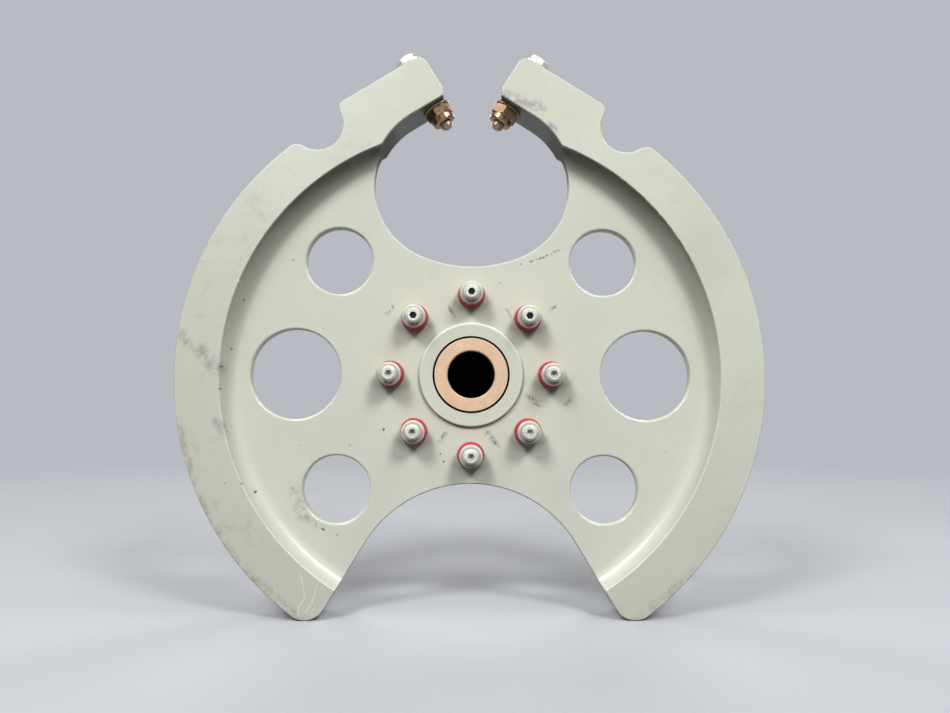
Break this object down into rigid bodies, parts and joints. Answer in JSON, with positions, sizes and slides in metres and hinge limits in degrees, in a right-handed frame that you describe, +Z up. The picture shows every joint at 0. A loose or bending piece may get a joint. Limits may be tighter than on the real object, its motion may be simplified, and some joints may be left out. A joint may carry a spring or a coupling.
{
  "type": "aircraft elevator control cable sector",
  "caption": "Painted machined sector with a grooved cable rim, two cable ears and a pinned flanged hub with a bronze pivot bushing",
  "frame": {"origin": "On the pivot axis, halfway through the thickness of the plate's rim", "axes": "+X towards the right ear as seen from the collar side, -Y along the pivot axis towards the collar side, +Z up between the two ears"},
  "size_m": [0.2336, 0.057, 0.2292],
  "materials": {
    "green_paint": "satin pale grey-green enamel over aluminium",
    "bronze": "bare turned bronze",
    "pin_paint": "pale grey-green enamel over titanium or steel",
    "red_collar": "red dye on the collar's side with grey-green enamel over its top",
    "plated_steel": "bright cadmium plate",
    "gold_plated_steel": "gold-coloured chromate over cadmium plate"
  },
  "bodies": {
    "root": {"sector_plate": "green_paint", "flanged_hub": "green_paint", "pivot_bushing": "bronze", "flange_pin_1": "pin_paint", "flange_pin_2": "pin_paint", "flange_pin_3": "pin_paint", "flange_pin_4": "pin_paint", "flange_pin_5": "pin_paint", "flange_pin_6": "pin_paint", "flange_pin_7": "pin_paint", "flange_pin_8": "pin_paint", "pin_collar_1": "red_collar", "pin_collar_2": "red_collar", "pin_collar_3": "red_collar", "pin_collar_4": "red_collar", "pin_collar_5": "red_collar", "pin_collar_6": "red_collar", "pin_collar_7": "red_collar", "pin_collar_8": "red_collar", "left_head_washer_1": "plated_steel", "left_head_washer_2": "plated_steel", "left_ear_bolt": "plated_steel", "left_nut_washer": "plated_steel", "left_lock_nut": "gold_plated_steel", "right_head_washer_1": "plated_steel", "right_head_washer_2": "plated_steel", "right_ear_bolt": "plated_steel", "right_nut_washer": "plated_steel", "right_lock_nut": "gold_plated_steel"}
  },
  "joints": []
}
